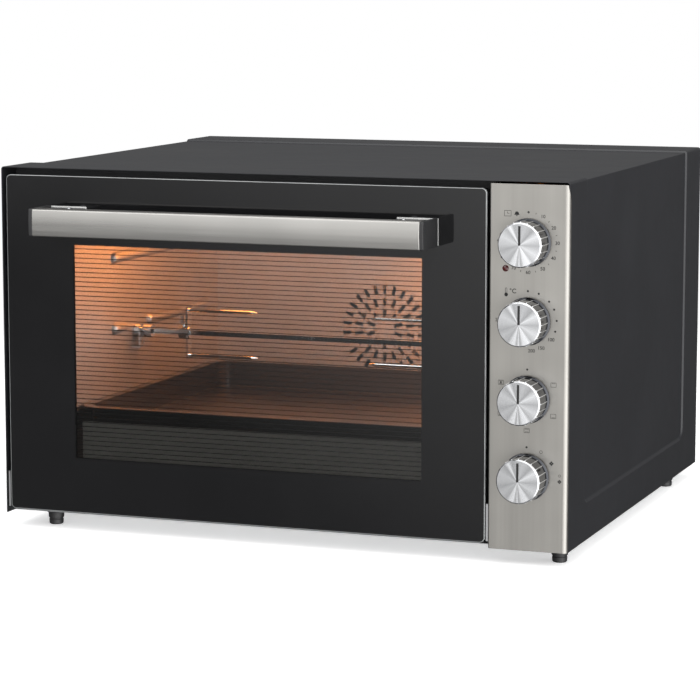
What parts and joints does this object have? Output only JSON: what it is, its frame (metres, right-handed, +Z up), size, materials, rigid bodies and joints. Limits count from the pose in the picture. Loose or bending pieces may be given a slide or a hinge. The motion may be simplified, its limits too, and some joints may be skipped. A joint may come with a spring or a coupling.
{
  "type": "countertop oven",
  "caption": "Countertop electric oven with drop-down glass door, knob column, convection fan and rotisserie spit over a baking tray.",
  "frame": {"origin": "on the table, under the middle of the overall box (handle and lead gland included)", "axes": "+Z up, front with door and knobs towards -Y, +X to the right as seen from the front"},
  "size_m": [0.595, 0.589, 0.37],
  "materials": {
    "black_enamelled_sheet": "black powder coat, fine texture",
    "galvanised_sheet": "plain galvanised sheet",
    "cavity_sheet": "aluminised cavity sheet, satin",
    "panel_steel": "brushed stainless steel, lengthwise grain",
    "knob_metal": "spun aluminium",
    "handle_steel": "brushed stainless steel",
    "black_plastic": "fine moulded texture",
    "printed_glass": "tempered glass with black printed border",
    "clear_glass": "clear tempered glass",
    "seal_fibre": "woven heat-proof strip",
    "heating_tube": "oxidised tube",
    "tray_enamel": "gloss enamel",
    "spit_chrome": "chromed",
    "plain_steel": "zinc plated",
    "fan_aluminium": "stamped",
    "motor_case": "satin",
    "switch_plastic": "heat-proof moulding",
    "lamp_red": "clear red",
    "mineral_wool": "mineral wool board",
    "wire_insulation": "silicone wire",
    "ceramic_block": "heat-proof moulding"
  },
  "bodies": {
    "housing": {"outer_wrap": "black_enamelled_sheet", "back_panel": "black_enamelled_sheet", "bottom_plate": "galvanised_sheet", "front_frame": "black_enamelled_sheet", "feet": "black_plastic", "housing_screws": "plain_steel", "control_panel": "panel_steel", "timer_switch": "switch_plastic", "thermostat_switch": "switch_plastic", "function_switch": "switch_plastic", "light_switch": "switch_plastic", "indicator_lamp": "lamp_red", "hinge_ears": "plain_steel", "door_springs": "plain_steel", "door_seal": "seal_fibre", "cavity_left_wall": "cavity_sheet", "cavity_right_wall": "cavity_sheet", "cavity_ceiling": "cavity_sheet", "cavity_floor": "cavity_sheet", "cavity_back": "cavity_sheet", "insulation": "mineral_wool", "top_element": "heating_tube", "bottom_element": "heating_tube", "lamp_cover": "clear_glass", "lamp_holder": "plain_steel", "lamp_bulb": "clear_glass", "thermostat_probe": "plain_steel", "fan_grille": "cavity_sheet", "fan_housing": "galvanised_sheet", "fan_motor": "motor_case", "spit_support": "plain_steel", "spit_motor": "motor_case", "lead_gland": "black_plastic", "terminal_block": "ceramic_block", "wiring_loom": "wire_insulation"},
    "door": {"door_glass": "printed_glass", "door_frame": "black_enamelled_sheet", "inner_glass": "clear_glass", "glass_clips": "plain_steel", "hinge_pins": "plain_steel", "door_levers": "plain_steel", "handle_bar": "handle_steel", "handle_end_left": "black_plastic", "handle_end_right": "black_plastic", "handle_screws": "plain_steel"},
    "timer": {"timer_knob": "knob_metal", "timer_shaft": "plain_steel"},
    "thermostat": {"thermostat_knob": "knob_metal", "thermostat_shaft": "plain_steel"},
    "function": {"function_knob": "knob_metal", "function_shaft": "plain_steel"},
    "light": {"light_knob": "knob_metal", "light_shaft": "plain_steel"},
    "spit": {"spit_rod": "spit_chrome", "fork_left": "spit_chrome", "fork_right": "spit_chrome", "fork_screws": "spit_chrome", "drive_socket": "plain_steel"},
    "fan": {"fan_wheel": "fan_aluminium"},
    "tray": {"baking_tray": "tray_enamel"}
  },
  "joints": [
    {"name": "door_hinge", "type": "hinge", "parent": "housing", "child": "door", "pos_m": [-0.03825, -0.2395, 0.028], "axis": [1, 0, 0], "range_deg": [0, 82], "stiffness_Nm_per_rad": 2, "springref_deg": -28.65},
    {"name": "timer_turn", "type": "hinge", "parent": "housing", "child": "timer", "pos_m": [0.257, -0.2475, 0.312], "axis": [0, 1, 0], "range_deg": [-40, 270]},
    {"name": "thermostat_turn", "type": "hinge", "parent": "housing", "child": "thermostat", "pos_m": [0.257, -0.2475, 0.2371], "axis": [0, 1, 0], "range_deg": [0, 285]},
    {"name": "function_turn", "type": "hinge", "parent": "housing", "child": "function", "pos_m": [0.257, -0.2475, 0.1622], "axis": [0, 1, 0], "range_deg": [0, 300]},
    {"name": "light_turn", "type": "hinge", "parent": "housing", "child": "light", "pos_m": [0.257, -0.2475, 0.0873], "axis": [0, 1, 0], "range_deg": [0, 90]},
    {"name": "spit_turn", "type": "hinge", "parent": "housing", "child": "spit", "pos_m": [0, -0.0573, 0.183], "axis": [1, 0, 0], "continuous": true},
    {"name": "fan_turn", "type": "hinge", "parent": "housing", "child": "fan", "pos_m": [-0.034, 0.1975, 0.165], "axis": [0, 1, 0], "continuous": true},
    {"name": "tray_slide", "type": "slide", "parent": "housing", "child": "tray", "axis": [0, -1, 0], "range_m": [0, 0.0788]}
  ],
  "couplings": [
    {"joint": "tray_slide", "follows": "door_hinge", "m_per_rad": 0.055}
  ]
}
